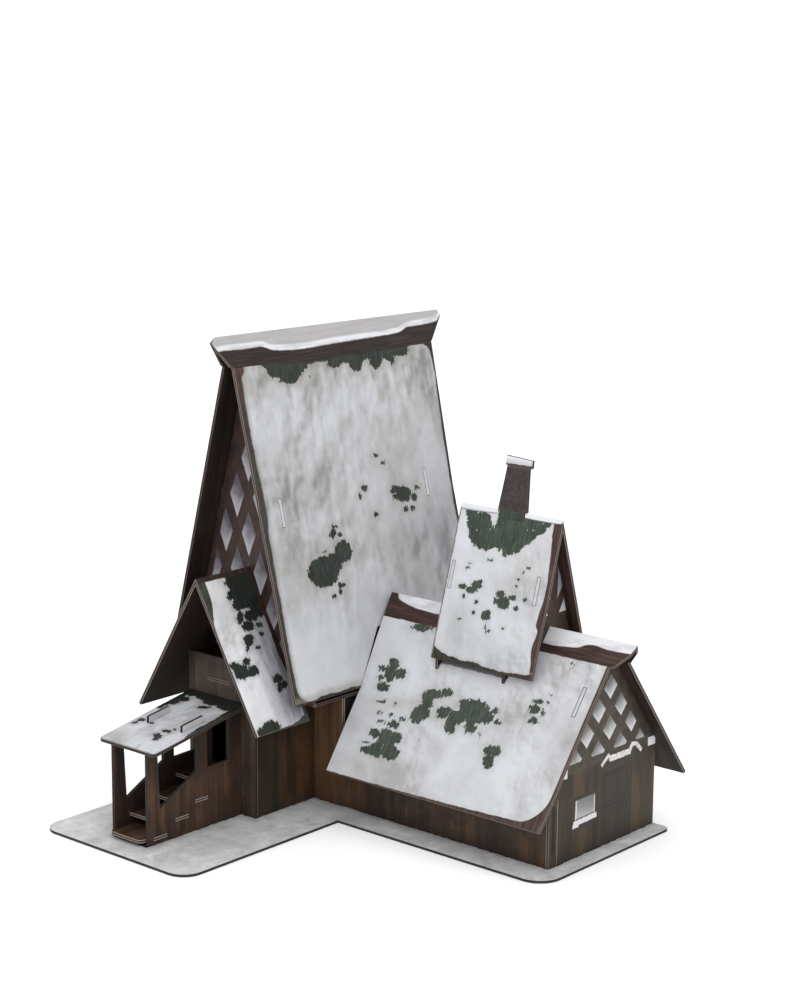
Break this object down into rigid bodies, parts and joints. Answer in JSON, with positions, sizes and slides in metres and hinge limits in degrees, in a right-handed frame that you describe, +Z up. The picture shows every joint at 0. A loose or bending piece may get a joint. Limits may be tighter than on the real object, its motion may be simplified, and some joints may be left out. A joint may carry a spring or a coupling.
{
  "type": "tabletop terrain building",
  "caption": "Snow-covered timber building for tabletop games, assembled from slot-and-tab printed card boards, with a lift-off dormer and a fold-open roof.",
  "frame": {"origin": "middle of the whole building's footprint, at the underside of the base plate", "axes": "+X along the tall roof's ridge, away from the stair porch; -Y along the low wing towards its end gable; +Z up"},
  "size_m": [0.2354, 0.2278, 0.2311],
  "materials": {
    "snowy_roof_card": "matt printed snow over thatch and brown beams",
    "snowy_base_card": "matt printed trodden snow",
    "lattice_card": "matt printed timber lattice with snow panes",
    "plank_card": "matt printed dark planks",
    "brick_card": "matt printed dark brick with a snow cap"
  },
  "bodies": {
    "building": {"base_plate": "snowy_base_card", "hall_gable_front": "lattice_card", "hall_gable_rear": "lattice_card", "hall_floor": "plank_card", "hall_wall_right": "plank_card", "hall_wall_left": "plank_card", "hall_wall_front": "plank_card", "hall_roof_front": "snowy_roof_card", "entry_front_wall": "plank_card", "entry_wall_right": "plank_card", "entry_wall_left": "plank_card", "entry_attic_floor": "plank_card", "entry_roof_right": "snowy_roof_card", "entry_roof_left": "snowy_roof_card", "porch_side_right": "plank_card", "porch_side_left": "plank_card", "stair_tread_1": "plank_card", "stair_tread_2": "plank_card", "stair_tread_3": "plank_card", "stair_landing": "plank_card", "wing_wall_left": "plank_card", "wing_wall_right": "plank_card", "wing_end_gable": "lattice_card", "wing_inner_gable": "lattice_card", "wing_roof_left": "snowy_roof_card", "wing_roof_right": "snowy_roof_card"},
    "hall_roof_flap": {"hall_roof_rear": "snowy_roof_card"},
    "dormer": {"dormer_gable_rear": "lattice_card", "dormer_gable_front": "lattice_card", "dormer_inner_rib": "plank_card", "dormer_roof_left": "snowy_roof_card", "dormer_roof_right": "snowy_roof_card"},
    "chimney_stack": {"chimney": "brick_card"},
    "porch_canopy": {"porch_roof": "snowy_roof_card"}
  },
  "joints": [
    {"name": "hall_roof_fold", "type": "hinge", "parent": "building", "child": "hall_roof_flap", "pos_m": [0, 0.06916, 0.23118], "axis": [1, 0, 0], "range_deg": [0, 75]},
    {"name": "dormer_lift", "type": "slide", "parent": "building", "child": "dormer", "axis": [0, 0, 1], "range_m": [0, 0.06]},
    {"name": "chimney_lift", "type": "slide", "parent": "dormer", "child": "chimney_stack", "axis": [0, 0, 1], "range_m": [0, 0.03]},
    {"name": "porch_roof_lift", "type": "slide", "parent": "building", "child": "porch_canopy", "axis": [0, 0, 1], "range_m": [0, 0.02]}
  ]
}
